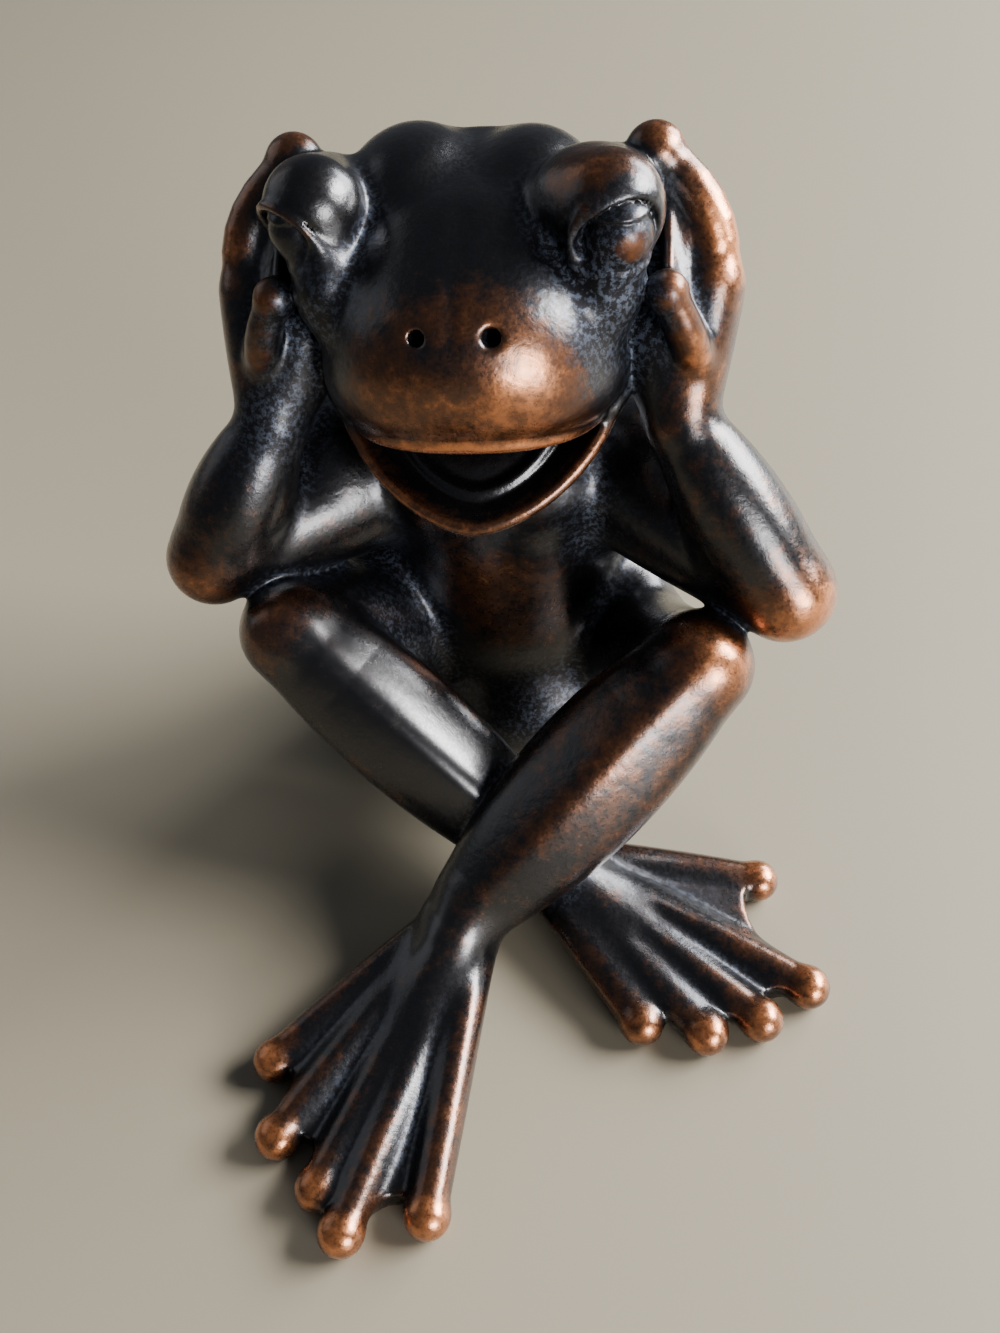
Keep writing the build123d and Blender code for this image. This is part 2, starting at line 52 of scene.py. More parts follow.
level = math.cos(ELEVATION)
back = Vector((math.sin(AZIMUTH) * level, -math.cos(AZIMUTH) * level, math.sin(ELEVATION)))
level_right = Vector((math.cos(AZIMUTH), math.sin(AZIMUTH), 0.0))
level_up = back.cross(level_right)
right = level_right * math.cos(ROLL) + level_up * math.sin(ROLL)
up = level_up * math.cos(ROLL) - level_right * math.sin(ROLL)
turned = Matrix((right, up, back)).transposed().to_4x4()
camera = bpy.data.objects.new("camera", bpy.data.cameras.new("camera"))
camera.data.lens = SENSOR * FOCAL_PIXELS / FRAME_PIXELS
camera.data.sensor_width = SENSOR
camera.data.clip_start = 0.005
camera.data.clip_end = 20.0
camera.matrix_world = Matrix.Translation((AIM + back * CAMERA_DISTANCE) * MM) @ turned
bpy.context.scene.collection.objects.link(camera)
bpy.context.scene.camera = camera

# Modelling clay: distance fields on one grid, so that castings run into one another
# as they do on the ornament
VOXEL = 0.36
LOW = np.array([-45.5, -101.0, -1.8])
HIGH = np.array([47.0, 21.0, 99.5])
SHAPE = np.ceil((HIGH - LOW) / VOXEL).astype(int) + 1
FAR = np.float32(12.0)
TINY = 1e-6
JOIN_MARGIN = 4.0
CUT_MARGIN = 1.0


def vec(*xyz):
    return np.array(xyz, float)


def unit(way):
    return way / np.linalg.norm(way)


def soft_min(a, b, blend):
    """The smaller of two fields, rounded where they are within blend of each other."""
    if blend <= 0:
        return np.minimum(a, b)
    h = np.maximum(blend - np.abs(a - b), 0.0)
    return np.minimum(a, b) - h * h * np.float32(0.25 / blend)


def soft_max(a, b, blend):
    return -soft_min(-a, -b, blend)


def part_of(owner, first, last):
    """A casting's field between two corners of the grid."""
    return owner.d[tuple(slice(first[k] - owner.first[k], last[k] - owner.first[k]) for k in range(3))]


class Clay:
    """One casting's distance field, kept only inside its own box.

    The forms that it takes are a low corner, a high corner and a function that gives
    the distance to the form on a grid.
    """

    def __init__(self, low, high):
        self.first = np.maximum(np.floor((np.array(low) - LOW) / VOXEL).astype(int), 0)
        self.last = np.minimum(np.ceil((np.array(high) - LOW) / VOXEL).astype(int) + 1, SHAPE)
        self.d = np.full(self.last - self.first, FAR, np.float32)

    def near(self, low, high, margin):
        """The field in a box with a margin, and the grid's X, Y and Z there."""
        first = np.floor((np.array(low) - margin - LOW) / VOXEL).astype(int)
        first = np.maximum(first, self.first)
        last = np.ceil((np.array(high) + margin - LOW) / VOXEL).astype(int) + 1
        last = np.maximum(first, np.minimum(last, self.last))
        x, y, z = [
            (LOW[k] + VOXEL * np.arange(first[k], last[k])).astype(np.float32) for k in range(3)
        ]
        return part_of(self, first, last), (x[:, None, None], y[None, :, None], z[None, None, :])

    def join(self, form, blend):
        view, p = self.near(form[0], form[1], blend + JOIN_MARGIN)
        view[...] = soft_min(view, form[2](p), blend)

    def join_all(self, forms, blend):
        """Join the forms as one sheet, so that their shared edges don't swell."""
        margin = blend + JOIN_MARGIN
        low = np.min([form[0] for form in forms], 0) - margin
        high = np.max([form[1] for form in forms], 0) + margin
        sheet = Clay(low, high)
        for form in forms:
            sheet.join(form, 0.0)
        first = np.maximum(sheet.first, self.first)
        last = np.minimum(sheet.last, self.last)
        mine = part_of(self, first, last)
        mine[...] = soft_min(mine, part_of(sheet, first, last), blend)

    def cut(self, form, blend):
        view, p = self.near(form[0], form[1], blend + CUT_MARGIN)
        view[...] = soft_max(view, -form[2](p), blend)

    def dent(self, low, high, depth):
        """Sink the surface inside a box by depth(x, y, z)."""
        view, p = self.near(low, high, 0.0)
        view += depth(*p).astype(np.float32)

    def keep(self, form, blend):
        """Cut away all that lies outside the form."""
        view, p = self.near(self.first * VOXEL + LOW, self.last * VOXEL + LOW, 0.0)
        view[...] = soft_max(view, form[2](p), blend)


def away(p, point):
    """Steps from a point to the grid, an array for each axis."""
    return [p[k] - np.float32(point[k]) for k in range(3)]


def dot(q, way):
    return sum(q[k] * np.float32(way[k]) for k in range(3))


def length(q):
    return np.sqrt(sum(step**2 for step in q))


def beside(p, start, along):
    """Share of the way along a line, from 0 to 1, and the steps from there to the grid."""
    q = away(p, start)
    t = np.clip(dot(q, along) / np.float32(along @ along), 0.0, 1.0)
    return t, [q[k] - t * np.float32(along[k]) for k in range(3)]


def limb(a, b, ra, rb, swell=None, share=0.5):
    """Round-ended limb from a to b, with radius swell at that share of its length."""
    a, b = np.array(a, float), np.array(b, float)
    along = b - a
    swell = (ra + rb) / 2 if swell is None else swell
    widest = max(ra, rb, swell)

    def distance(p):
        t, q = beside(p, a, along)
        r = (
            ra * (t - share) * (t - 1.0) / share
            + swell * t * (t - 1.0) / (share * (share - 1.0))
            + rb * t * (t - share) / (1.0 - share)
        )
        return length(q) - r

    return np.minimum(a, b) - widest, np.maximum(a, b) + widest, distance


def shin_bone(bone, crest, angle, flat, start_share=0.2, edge=1.6):
    """A limb with a flat on each side of the crest, turned by angle from it.

    The bone is limb's values. Each flat lies at that share of the radius, and comes in
    over the first start_share of the length.
    """
    low, high, round_distance = limb(*bone)
    a, b = bone[0], bone[1]
    along = b - a
    across = np.cross(unit(along), crest)
    turn = math.radians(angle)

    def distance(p):
        d = round_distance(p)
        t, q = beside(p, a, along)
        radius = length(q) - d
        level = radius * (1.0 - (1.0 - flat) * np.clip(t / start_share, 0.0, 1.0))
        for sign in (1.0, -1.0):
            way = crest * math.cos(turn) + across * sign * math.sin(turn)
            d = soft_max(d, dot(q, way) - level, edge)
        return d

    return low, high, distance


def curve(points, t):
    """Places on the smooth curve that three control points draw."""
    return (1 - t) ** 2 * points[0] + 2 * t * (1 - t) * points[1] + t**2 * points[2]


def bent(points, ra, rb, steps=7):
    """A limb along a smooth curve with three control points."""
    t = np.linspace(0.0, 1.0, steps + 1)[:, None]
    line = curve([np.array(q, float) for q in points], t)
    radii = ra + (rb - ra) * t[:, 0]
    parts = [limb(line[i], line[i + 1], radii[i], radii[i + 1]) for i in range(steps)]

    def distance(p):
        d = parts[0][2](p)
        for part in parts[1:]:
            d = np.minimum(d, part[2](p))
        return d

    return np.min([q[0] for q in parts], 0), np.max([q[1] for q in parts], 0), distance


def ball(c, r):
    c = np.array(c, float)

    def distance(p):
        return length(away(p, c)) - np.float32(r)

    return c - r, c + r, distance


def egg(c, radii, axes=None):
    """Ellipsoid about c; axes are its three directions."""
    c, radii = np.array(c, float), np.array(radii, float)
    axes = np.eye(3) if axes is None else np.array(axes, float)
    reach = radii.max()

    def distance(p):
        q = away(p, c)
        local = [dot(q, axis) for axis in axes]
        k0 = length([local[i] / np.float32(radii[i]) for i in range(3)])
        k1 = length([local[i] / np.float32(radii[i] ** 2) for i in range(3)]) + TINY
        return k0 * (k0 - 1.0) / k1

    return c - reach, c + reach, distance


def half_space(point, normal):
    """What lies behind the plane, on the side away from its normal."""
    normal = np.array(normal, float) / np.linalg.norm(normal)
    offset = np.float32(normal @ np.array(point, float))

    def distance(p):
        return dot(p, normal) - offset

    return LOW, HIGH, distance


def smooth_rows(rows, z):
    """Cubic curves through the rows' second and later columns, at heights z."""
    rows = np.array(rows, float)
    h, out = rows[:, 0], []
    for column in rows[:, 1:].T:
        grade = np.gradient(column, h)
        i = np.clip(np.searchsorted(h, z) - 1, 0, len(h) - 2)
        w = h[i + 1] - h[i]
        t = np.clip((z - h[i]) / w, 0.0, 1.0)
        out.append(
            (2 * t**3 - 3 * t**2 + 1) * column[i]
            + (t**3 - 2 * t**2 + t) * w * grade[i]
            + (3 * t**2 - 2 * t**3) * column[i + 1]
            + (t**3 - t**2) * w * grade[i + 1]
        )
    return out


def stack(rows, bottom=None, top=None, edge=1.5):
    """A body of level ellipses: rows of height, middle in Y, half width, half depth."""
    rows = np.array(rows, float)
    reach = rows[:, 2:].max()
    low = vec(-reach, rows[:, 1].min() - reach, rows[0, 0] - 2)
    high = vec(reach, rows[:, 1].max() + reach, rows[-1, 0] + 2)

    def distance(p):
        columns = smooth_rows(rows, p[2].ravel())
        middle, wide, deep = [q.astype(np.float32).reshape(p[2].shape) for q in columns]
        x, y = p[0], p[1] - middle
        q = np.sqrt((x / wide) ** 2 + (y / deep) ** 2) + TINY
        d = (q - 1.0) * q / (np.sqrt((x / wide**2) ** 2 + (y / deep**2) ** 2) + TINY)
        if bottom is not None:
            d = soft_max(d, bottom - p[2], edge)
        if top is not None:
            d = soft_max(d, p[2] - top, edge)
        return d

    return low, high, distance


def ring(c, radius, tube, u, v, flat=1.0):
    """A ring about c in the plane of u and v. Its radius along v is flat times that along u."""
    c, u, v = [np.array(q, float) for q in (c, u, v)]
    n = np.cross(u, v)
    reach = radius * max(1.0, flat) + tube

    def distance(p):
        q = away(p, c)
        a, b, w = [dot(q, way) for way in (u, v, n)]
        b = b / np.float32(flat)
        rho = np.sqrt(a * a + b * b) + TINY
        scale = np.sqrt((a / rho) ** 2 + (b / rho * flat) ** 2)
        return np.sqrt(((rho - radius) * scale) ** 2 + w * w) - tube

    return c - reach, c + reach, distance


def pointed(form, middle, across, along, power):
    """The form with its outline in the plane of across and along made square or pointed.

    A power of 2 leaves it round, less draws it to a point and more squares it.
    """
    low, high, round_distance = form

    def distance(p):
        q = away(p, middle)
        s, a = dot(q, across), dot(q, along)
        powers = np.abs(s) ** np.float32(power) + np.abs(a) ** np.float32(power)
        norm = powers ** np.float32(1.0 / power)
        grow = norm / (np.sqrt(s * s + a * a) + TINY) - 1.0
        return round_distance(
            [p[k] + (s * np.float32(across[k]) + a * np.float32(along[k])) * grow for k in range(3)]
        )

    return low, high, distance


def drooped(form, drop, reach):
    """The form with its sides sunk, by drop at that reach from the middle plane."""
    low, high, level_distance = form

    def distance(p):
        sunk = (p[0] / np.float32(reach)) ** 2 * np.float32(drop)
        return level_distance([p[0], p[1], p[2] + sunk])

    return low - vec(0, 0, 2 * drop), high, distance


def trimmed(form, point, normal, edge):
    """What the plane leaves of the form, on the side away from its normal."""
    low, high, whole_distance = form
    plane = half_space(point, normal)[2]

    def distance(p):
        return soft_max(whole_distance(p), plane(p), edge)

    return low, high, distance


def skin(a, b, c, thickness):
    """A flat web with corners a, b and c."""
    a, b, c = [np.array(q, float) for q in (a, b, c)]
    n = np.cross(b - a, a - c)
    edges = [(a, b - a), (b, c - b), (c, a - c)]

    def distance(p):
        inside = None
        nearest = None
        for start, edge in edges:
            test = dot(away(p, start), np.cross(edge, n)) >= 0
            inside = test if inside is None else inside & test
            d = sum(step**2 for step in beside(p, start, edge)[1])
            nearest = d if nearest is None else np.minimum(nearest, d)
        level = dot(away(p, a), n) ** 2 / np.float32(n @ n)
        return np.sqrt(np.where(inside, level, nearest)) - np.float32(thickness / 2)

    corners = np.array([a, b, c])
    return corners.min(0) - thickness, corners.max(0) + thickness, distance


def plate(outline, height, highest=9.0, edge=0.8):
    """A level plate over the outline's inside, from the floor up to height(x, y)."""
    outline = np.array(outline, float)

    def distance(p):
        x, y = p[0][:, :, 0], p[1][:, :, 0]
        best = np.full(np.broadcast(x, y).shape, 1e9)
        inside = np.zeros(best.shape, bool)
        for (x0, y0), (x1, y1) in zip(outline, np.roll(outline, -1, 0)):
            ex, ey = x1 - x0, y1 - y0
            t = np.clip(((x - x0) * ex + (y - y0) * ey) / (ex * ex + ey * ey), 0.0, 1.0)
            best = np.minimum(best, (x - x0 - t * ex) ** 2 + (y - y0 - t * ey) ** 2)
            crosses = (y0 <= y) != (y1 <= y)
            inside ^= crosses & (x < x0 + (y - y0) * ex / (ey if ey else 1e-9))
        d = np.where(inside, -1.0, 1.0) * np.sqrt(best)
        above = p[2] - height(x, y)[:, :, None].astype(np.float32)
        return soft_max(d[:, :, None].astype(np.float32), above, edge)

    return np.append(outline.min(0), 0.0), np.append(outline.max(0), highest), distance


# Skeleton, and the sizes that differ from side to side as they do in the photograph
SIDES = {"left": 1.0, "right": -1.0}
ACROSS, BACKWARD, UPWARD = vec(1, 0, 0), vec(0, 1, 0), vec(0, 0, 1)
MOUTH = 69.0
EYE = {"left": vec(16.0, -19.0, 90.5), "right": vec(-17.0, -17.2, 90.5)}
LOOK = {"left": unit(vec(0.38, -0.92, -0.10)), "right": unit(vec(-0.55, -0.72, -0.42))}
EYEBALL = {
    "left": EYE["left"] + LOOK["left"] * 3.5 - UPWARD * 1.1,
    "right": EYE["right"] + LOOK["right"] * 3.2,
}
EYEBALL_RADIUS = {"left": 3.65, "right": 3.1}
LID_RADIUS = {"left": 4.2, "right": 3.5}
SOCKET_HALF_WIDTH = {"left": 5.2, "right": 4.3}
BROW_RADIUS = {"left": 6.2, "right": 5.7}
BROW_LENGTH = {"left": 9.0, "right": 7.0}
NOSTRIL_RADIUS = {"left": 1.1, "right": 0.8}
HIP = {s: vec(q * 17.0, -8.0, 16.5) for s, q in SIDES.items()}
KNEE = {"left": vec(27.3, -33.5, 35.5), "right": vec(-26.6, -30.5, 37.5)}
ANKLE = {"left": vec(-4.0, -56.5, 9.0), "right": vec(8.5, -45.5, 8.0)}
THIGH_RADIUS = {"left": 7.8, "right": 11.2}
CALF_RADIUS = {"left": 9.2, "right": 8.6}
SHIN_CREST = {"left": vec(0.0, -0.7, 0.7), "right": vec(0.28, -0.68, 0.68)}
FLANK = {"left": (vec(17.5, -9.0, 27.5), 5.6), "right": (vec(-19.0, -11.5, 29.5), 7.2)}
SHOULDER = {s: vec(q * 15.0, -6.0, 48.0) for s, q in SIDES.items()}
DELTOID = {"left": vec(22.5, -10.0, 50.5), "right": vec(-22.5, -10.0, 51.8)}
ELBOW = {"left": vec(38.0, -28.5, 44.1), "right": vec(-36.5, -26.8, 47.2)}
ELBOW_RADIUS = {"left": 6.0, "right": 5.7}
WRIST = {"left": vec(24.5, -21.0, 64.5), "right": vec(-26.3, -21.0, 64.5)}
KNUCKLE = {s: vec(q * 27.2, -14.0, 78.5) for s, q in SIDES.items()}
PALM = {s: vec(q * 22.2, -15.0, 73.3) for s, q in SIDES.items()}
# Each toe's length from the ankle, and its turn outward from straight ahead in degrees
TOES = {
    "left": ((28.8, 50.2), (34.4, 34.5), (36.8, 20.8), (40.4, 13.3), (36.6, -0.9)),
    "right": ((28.4, 94.0), (37.2, 66.9), (34.2, 54.8), (30.4, 43.6), (24.6, 30.8)),
}
# Outline of the upper jaw: its middle, its half width and half depth at the lip, how
# square it is, and how far its sides sink at a given reach
MUZZLE_MIDDLE = vec(0, -15.3, 0)
LIP_HALF_WIDTH = 15.7
LIP_HALF_DEPTH = 18.1
MUZZLE_POWER = 2.25
DROOP = 2.4
DROOP_REACH = 15.0


def make_torso():
    clay = Clay((-24, -26, -2), (24, 22, 74))
    trunk = [
        (0, 0, 15, 14),
        (5.6, 0, 19, 17.6),
        (16, -1, 20, 18.1),
        (30, -4, 18.3, 16.2),
        (44, -7, 17.1, 14),
        (55, -9, 14.8, 12),
        (62, -10, 11, 10),
        (70, -9, 11, 10),
    ]
    clay.join(stack(trunk, bottom=0.0, top=68.0), blend=0.5)
    belly = egg((0, -9, 26), (13, 11, 15))
    clay.join(belly, blend=4.0)
    for q in SIDES.values():
        breast = egg((q * 6.5, -15.5, 50), (6.5, 5, 6))
        clay.join(breast, blend=4.0)
    spine_furrow = limb((0, 16.5, 30), (0, 3.5, 58), 1.2, 1.2)
    clay.cut(spine_furrow, blend=2.5)
    # Lap that fills the space behind the crossed shins
    lap = egg((0, -14.5, 8.5), (14.0, 8.8, 8.5))
    clay.join(lap, blend=7.0)
    return clay


def muzzle_shaped(form):
    outline = pointed(form, MUZZLE_MIDDLE, ACROSS, BACKWARD, MUZZLE_POWER)
    return drooped(outline, DROOP, DROOP_REACH)


def nose_groove(x, y, z):
    """Depth of the groove above the nostrils."""
    return 0.3 * np.exp(-((x + 0.2) / 0.9) ** 2) * np.exp(-((y + 30.3) / 3.0) ** 4)


def add_eye(clay, side):
    """Brow mound, socket, ball, a fold of skin round the socket, and two lids."""
    eye, aim, middle = EYE[side], LOOK[side], EYEBALL[side]
    brow_end = eye + vec(0, BROW_LENGTH[side], -2.5)
    clay.join(limb(eye, brow_end, BROW_RADIUS[side], 5.4), blend=2.0)
    if side == "left":
        inner_brow = ball(eye + vec(-3.0, 3.0, -0.8), 6.0)
        clay.join(inner_brow, blend=2.0)
    q = SIDES[side]
    inward = unit(np.cross((0, 0, q), -aim))
    lift = np.cross(inward, aim) * q
    level_share, steep_share = 0.82, 0.57
    slant = inward * level_share - lift * steep_share
    rise = inward * steep_share + lift * level_share
    # The socket is drawn out to the inner corner
    socket_middle = middle + aim * 1.6 + inward * 0.8
    socket = egg(socket_middle, (SOCKET_HALF_WIDTH[side], 4.0, 3.8), (slant, rise, aim))
    clay.cut(socket, blend=0.6)
    clay.join(ball(middle, EYEBALL_RADIUS[side]), blend=0.15)
    if side == "left":
        fold_middle = eye + aim * 3.4 + inward * 0.6 - lift * 0.6
        clay.join(ring(fold_middle, 5.2, 0.45, slant, rise, 0.86), blend=0.6)
    else:
        clay.join(ring(eye + aim * 4.0, 4.4, 0.4, slant, rise, 0.9), blend=0.8)
    # Upper and lower lid: the side of the ball that it covers, and how far out it starts
    part, p = clay.near(middle, middle, margin=6.0)
    for way, height in ((lift, 2.3), (-lift, 2.4)):
        edge = half_space(middle + way * height, aim * 0.2 - way)[2](p)
        lid = soft_max(ball(middle, LID_RADIUS[side])[2](p), edge, 0.3)
        part[...] = soft_min(part, lid, 0.2)


def make_head():
    clay = Clay((-26, -39, 60), (26, 10, 99))
    skull = [
        (66, -15.3, 14.0, 17.0),
        (69, -15.3, 15.8, 18.2),
        (74, -15.3, 18.6, 19.8),
        (80, -15.0, 18.2, 19.5),
        (86, -12.5, 16.4, 17.4),
        (90, -9.5, 13.8, 13.0),
        (94, -7.0, 10.0, 9.0),
    ]
    clay.join(muzzle_shaped(stack(skull, bottom=MOUTH, edge=0.6)), blend=0.5)
    # Nape that leads from the skull to the neck
    nape = egg((0, -4.5, 69), (14.8, 7.6, 7.0))
    clay.join(nape, blend=4.0)
    # The skull stays under a flat dome, and the crown's two lobes stand out of it
    dome = egg((0, -7, 70), (40, 40, 22.2))
    clay.keep(dome, blend=3.0)
    left_crown = egg((6.2, -7, 83.4), (9.5, 13.0, 10.4))
    clay.join(left_crown, blend=1.2)
    right_crown = egg((-7.2, -7, 83.6), (10.0, 13.0, 11.0))
    clay.join(right_crown, blend=1.2)
    forehead_furrow = limb((0, -21.0, 92.4), (-0.5, -31.5, 87.6), 1.0, 0.6)
    clay.cut(forehead_furrow, blend=2.0)
    # Lip along the front edge of the upper jaw, and the hollow palate behind it
    lip_middle = MUZZLE_MIDDLE + UPWARD * (MOUTH + 0.8)
    lip = ring(lip_middle, LIP_HALF_WIDTH, 0.9, ACROSS, BACKWARD, LIP_HALF_DEPTH / LIP_HALF_WIDTH)
    lip = trimmed(lip, (0, -13.0, MOUTH), BACKWARD, edge=2.0)
    clay.join(muzzle_shaped(lip), blend=0.8)
    palate = drooped(egg((0, -22.5, 68.3), (13.2, 10.0, 4.6)), DROOP, DROOP_REACH)
    clay.cut(palate, blend=0.6)
    clay.dent((-4, -38, 81), (4, -27, 93), nose_groove)
    for side, q in SIDES.items():
        nostril = limb((q * 4.0, -37.5, 85.2), (q * 4.1, -27.5, 80.5), NOSTRIL_RADIUS[side], 0.8)
        clay.cut(nostril, blend=0.9)
    for side in SIDES:
        add_eye(clay, side)
    # Cheek that rises to the eye
    for q in SIDES.values():
        cheek = egg((q * 15.5, -20.0, 82.5), (4.6, 6.0, 6.0))
        clay.join(cheek, blend=3.0)
    return clay


def make_jaw():
    clay = Clay((-24, -38, 52), (24, 9, 72))
    tilt = math.radians(40.0)
    ahead = vec(0, -math.cos(tilt), -math.sin(tilt))
    over = vec(0, -math.sin(tilt), math.cos(tilt))
    hinge = vec(0, -20.0, MOUTH)
    axes = (ACROSS, ahead, over)

    def drawn_out(form):
        return pointed(form, hinge, ACROSS, ahead, 1.65)

    dish = egg(hinge, (17.4, 18.0, 7.2), axes)
    clay.join(drawn_out(dish), blend=0.0)
    clay.keep(half_space(hinge - over * 0.6, over), blend=0.6)
    hollow = egg(hinge + over * 0.3, (15.3, 15.9, 4.6), axes)
    clay.cut(drawn_out(hollow), blend=0.5)
    lip = ring(hinge - over * 0.9, 16.6, 0.95, ACROSS, ahead, 17.2 / 16.6)
    clay.join(drawn_out(lip), blend=0.6)
    tongue_root = hinge + ahead * 1.0
    tongue = egg(tongue_root - over * 3.2, (10.4, 12.0, 2.0), axes)
    clay.join(tongue, blend=0.8)
    tongue_edge = ring(tongue_root - over * 2.2, 10.6, 0.8, ACROSS, ahead, 1.1)
    clay.join(drawn_out(tongue_edge), blend=1.0)
    clay.keep(half_space(hinge - ahead * 1.0, -ahead), blend=0.5)
    throat = [(58, -10, 11, 10), (62, -10, 11, 10), (66, -9, 14.0, 11), (69.4, -8.5, 16.6, 12)]
    clay.join(stack(throat, top=69.2, edge=0.4), blend=1.0)
    # Fold of each cheek, running up from the corner of the mouth
    for q in SIDES.values():
        fold = ((q * 16.4, -22.0, 67.2), (q * 19.2, -19.0, 70.5), (q * 18.6, -14.5, 75.5))
        clay.join(bent(fold, 1.0, 1.8), blend=0.8)
    return clay


def fingers(side):
    """Thumb and fingers of one hand: curve from root to tip, two radii and the tip's radius."""
    q = SIDES[side]
    root = KNUCKLE[side]
    thumb = (vec(q * 25.8, -18.5, 69.5), vec(q * 26.2, -22.6, 75.0), vec(q * 22.4, -21.2, 81.7))
    first = (root, vec(q * 29.4, -11.4, 86.4), vec(q * 20.8, -8.5, 91.8))
    second = (root, vec(q * 27.8, -3.1, 86.5), vec(q * 14.4, 0.6, 84.8))
    third = (root, vec(q * 26.7, -2.9, 78.5), vec(q * 13.6, 1.8, 77.5))
    return [
        (thumb, 2.5, 2.0, 2.45),
        (first, 3.2, 2.5, 3.5),
        (second, 2.8, 2.0, 3.0),
        (third, 2.7, 2.0, 3.0),
    ]


SMALLEST_WEB = 0.05


def web(one, two, sag, end=0.95, edge_hollow=0.14, rows=6, columns=5):
    """Triangles of the skin between two fingers, sagging and hollow along its free edge."""
    net_rows = []
    for t in np.linspace(0.0, end, rows):
        row = []
        for s in np.linspace(0.0, 1.0, columns):
            arch = 4 * s * (1 - s)
            inner = t * (1.0 - edge_hollow * arch)
            row.append(curve(one, inner) * (1 - s) + curve(two, inner) * s + sag * t * arch)
        net_rows.append(row)
    for near, far in zip(net_rows, net_rows[1:]):
        for n in range(columns - 1):
            quad = (near[n], near[n + 1], far[n + 1], far[n])
            for a, b, c in ((quad[0], quad[1], quad[2]), (quad[0], quad[2], quad[3])):
                # At the shared knuckle some triangles shrink to nothing
                if np.linalg.norm(np.cross(b - a, c - a)) > SMALLEST_WEB:
                    yield a, b, c


def make_arm(side):
    q = SIDES[side]
    inner, outer = q * 8, (47 if q > 0 else -46)
    clay = Clay((min(inner, outer), -38, 34), (max(inner, outer), 8, 99))
    elbow = ELBOW_RADIUS[side]
    upper_arm = limb(SHOULDER[side], ELBOW[side], 10.2, elbow, swell=8.4, share=0.55)
    clay.join(upper_arm, blend=0.0)
    clay.join(ball(DELTOID[side], 8.6), blend=3.0)
    forearm = limb(ELBOW[side], WRIST[side], elbow - 0.1, 4.0, swell=6.6, share=0.32)
    clay.join(forearm, blend=2.2)
    hand_back = limb(WRIST[side], KNUCKLE[side], 4.0, 4.3, swell=4.4, share=0.6)
    clay.join(hand_back, blend=2.0)
    heel_of_hand = limb(WRIST[side], PALM[side], 3.8, 6.2, swell=5.4)
    clay.join(heel_of_hand, blend=1.5)
    palm = limb(PALM[side], (q * 20.5, -12.0, 80.5), 5.6, 3.6)
    clay.join(palm, blend=2.0)
    hand = fingers(side)
    for points, root_radius, end_radius, tip_radius in hand:
        clay.join(bent(points, root_radius, end_radius), blend=1.0)
        clay.join(ball(points[2], tip_radius), blend=0.7)
    sag = vec(-q, 0.3, 0) * 1.2
    for (one, *_), (two, *_) in zip(hand, hand[1:]):
        clay.join_all([skin(*corners, thickness=1.5) for corners in web(one, two, sag)], blend=1.2)
    return clay


def make_leg(side):
    hip, knee, ankle = HIP[side], KNEE[side], ANKLE[side]
    points = np.array([hip, knee, ankle])
    clay = Clay(points.min(0) - 15, points.max(0) + 13)
    thigh = limb(hip, knee, 10.5, 7.0, swell=THIGH_RADIUS[side], share=0.45)
    clay.join(thigh, blend=0.0)
    along = unit(ankle - knee)
    crest = unit(SHIN_CREST[side] - along * (SHIN_CREST[side] @ along))
    bone = (knee, ankle, 7.0, 4.8, CALF_RADIUS[side], 0.34)
    clay.join(shin_bone(bone, crest, angle=31.0, flat=0.88), blend=1.5)
    # Flank where the thigh meets the waist
    clay.join(ball(*FLANK[side]), blend=4.0)
    return clay


TOE_TIP_RADIUS = 2.85
TOE_TIP_HEIGHT = 2.6
TOE_ROOT_RADIUS = 2.8
TOE_END_RADIUS = 2.35
TOE_ROOT_HEIGHT = 6.0
TOE_ROOT_STEP = 1.5
TOE_BEND_HEIGHT = 4.8
TOE_BEND_SHARE = 0.55
WEB_REACH_SHARE = 0.97
WEB_SCALLOP_SHARE = 0.2
WEB_HEIGHT = 8.4
WEB_FALL = 6.0
WEB_FALL_REACH = 40.0
HEEL_BACK = 1.0


def toe_ways(side):
    """Direction and length of each toe."""
    for reach, degrees in TOES[side]:
        turn = math.radians(degrees)
        yield vec(-SIDES[side] * math.sin(turn), -math.cos(turn), 0.0), reach


